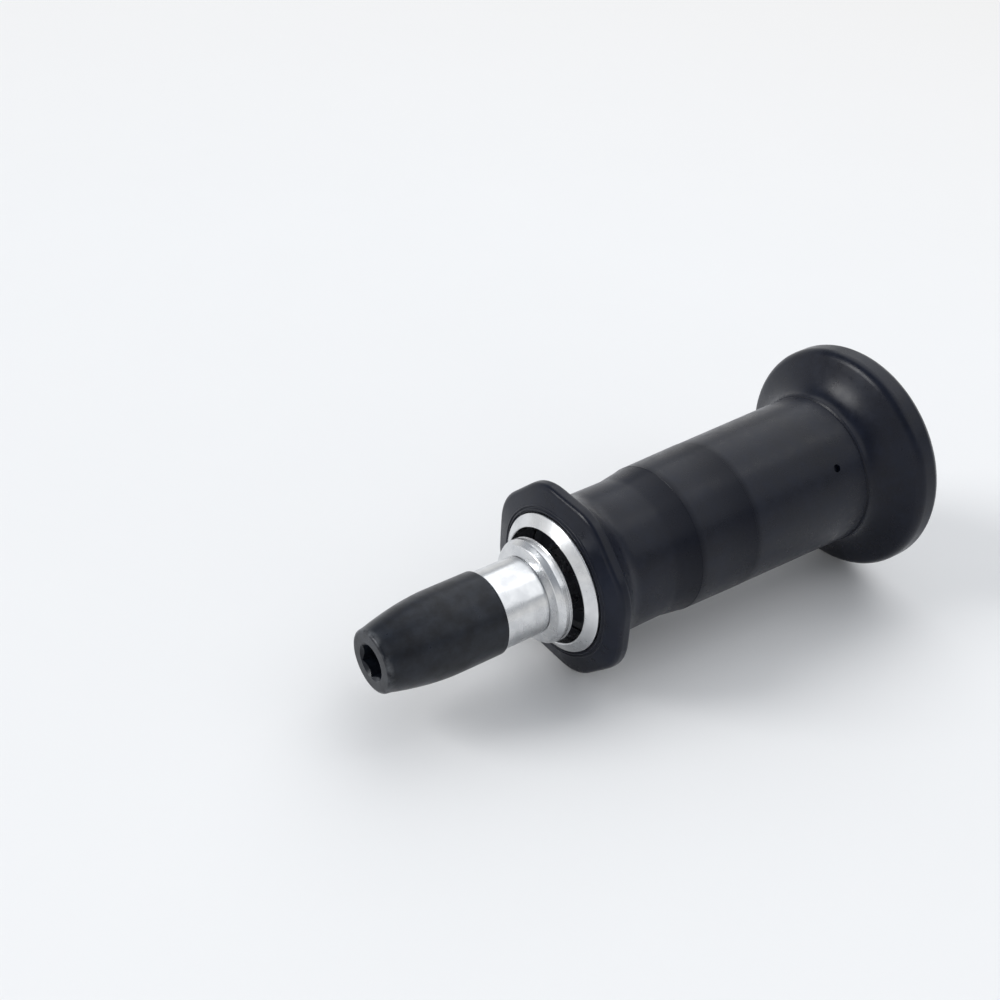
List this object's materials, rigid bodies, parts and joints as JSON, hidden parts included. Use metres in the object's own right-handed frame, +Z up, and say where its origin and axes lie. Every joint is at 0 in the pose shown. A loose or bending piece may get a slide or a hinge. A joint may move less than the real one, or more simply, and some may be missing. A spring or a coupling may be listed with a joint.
{
  "type": "hand impact driver",
  "caption": "Hand impact driver with a rubber grip, striking head, square drive and bit holder: a blow on the head drives the body forward and turns the spindle.",
  "frame": {"origin": "middle of the tool's footprint, on the surface that it lies on", "axes": "+X from the nose to the striking head, +Z up; the tool's own axis rises 4.1 degrees from nose to head, because it rests on its guard and its wider cap"},
  "size_m": [0.1672, 0.0644, 0.0646],
  "materials": {
    "grip_rubber": "matte moulded rubber",
    "seal_rubber": "matte",
    "black_steel": "matte black oxide",
    "plated_steel": "bright plating over turned steel",
    "plain_steel": "ground and oiled",
    "bronze": "bored bearing bronze"
  },
  "bodies": {
    "handle": {"rubber_grip": "grip_rubber", "steel_body": "plated_steel", "wiper_seal": "seal_rubber", "snap_ring": "black_steel", "guide_bush": "bronze", "cam_sleeve": "plain_steel", "lock_pin_1": "plain_steel", "lock_pin_2": "plain_steel", "return_spring": "plain_steel"},
    "spring_seat": {"spring_cap": "plain_steel", "thrust_ball": "plain_steel"},
    "drive_shaft": {"spindle": "plated_steel", "seal_ring": "seal_rubber", "cross_pin": "plain_steel", "drive_ball_spring": "plain_steel"},
    "roller_1": {"cam_roller_1": "plain_steel"},
    "roller_2": {"cam_roller_2": "plain_steel"},
    "detent": {"drive_ball": "plain_steel"},
    "nose": {"bit_holder": "black_steel", "bit_clip": "plain_steel"}
  },
  "joints": [
    {"name": "drive_slide", "type": "slide", "parent": "handle", "child": "spring_seat", "axis": [0.9974, 0, 0.0714], "range_m": [0, 0.009], "stiffness_N_per_m": 3000, "springref_m": -0.01, "deforming": ["return_spring"]},
    {"name": "spindle_turn", "type": "hinge", "parent": "spring_seat", "child": "drive_shaft", "pos_m": [0.02046, 0, 0.02844], "axis": [0.9974, 0, 0.0714], "range_deg": [0, 27]},
    {"name": "roller_1_spin", "type": "hinge", "parent": "drive_shaft", "child": "roller_1", "pos_m": [-0.00418, 0, 0.02668], "axis": [-0.0714, 0, 0.9974], "range_deg": [0, 185.5]},
    {"name": "roller_2_spin", "type": "hinge", "parent": "drive_shaft", "child": "roller_2", "pos_m": [-0.00418, 0, 0.02668], "axis": [0.0714, 0, -0.9974], "range_deg": [0, 185.5]},
    {"name": "holder_pull", "type": "slide", "parent": "drive_shaft", "child": "nose", "axis": [-0.9974, 0, -0.0714], "range_m": [0, 0.025]},
    {"name": "drive_ball_rise", "type": "slide", "parent": "drive_shaft", "child": "detent", "axis": [0, -1, 0], "range_m": [0, 0.00045], "deforming": ["drive_ball_spring"]}
  ],
  "couplings": [
    {"joint": "spindle_turn", "follows": "drive_slide", "rad_per_m": 52.36},
    {"joint": "roller_1_spin", "follows": "drive_slide", "rad_per_m": 359.4},
    {"joint": "roller_2_spin", "follows": "drive_slide", "rad_per_m": 359.4},
    {"joint": "drive_ball_rise", "follows": "holder_pull", "ratio": 0.018}
  ]
}
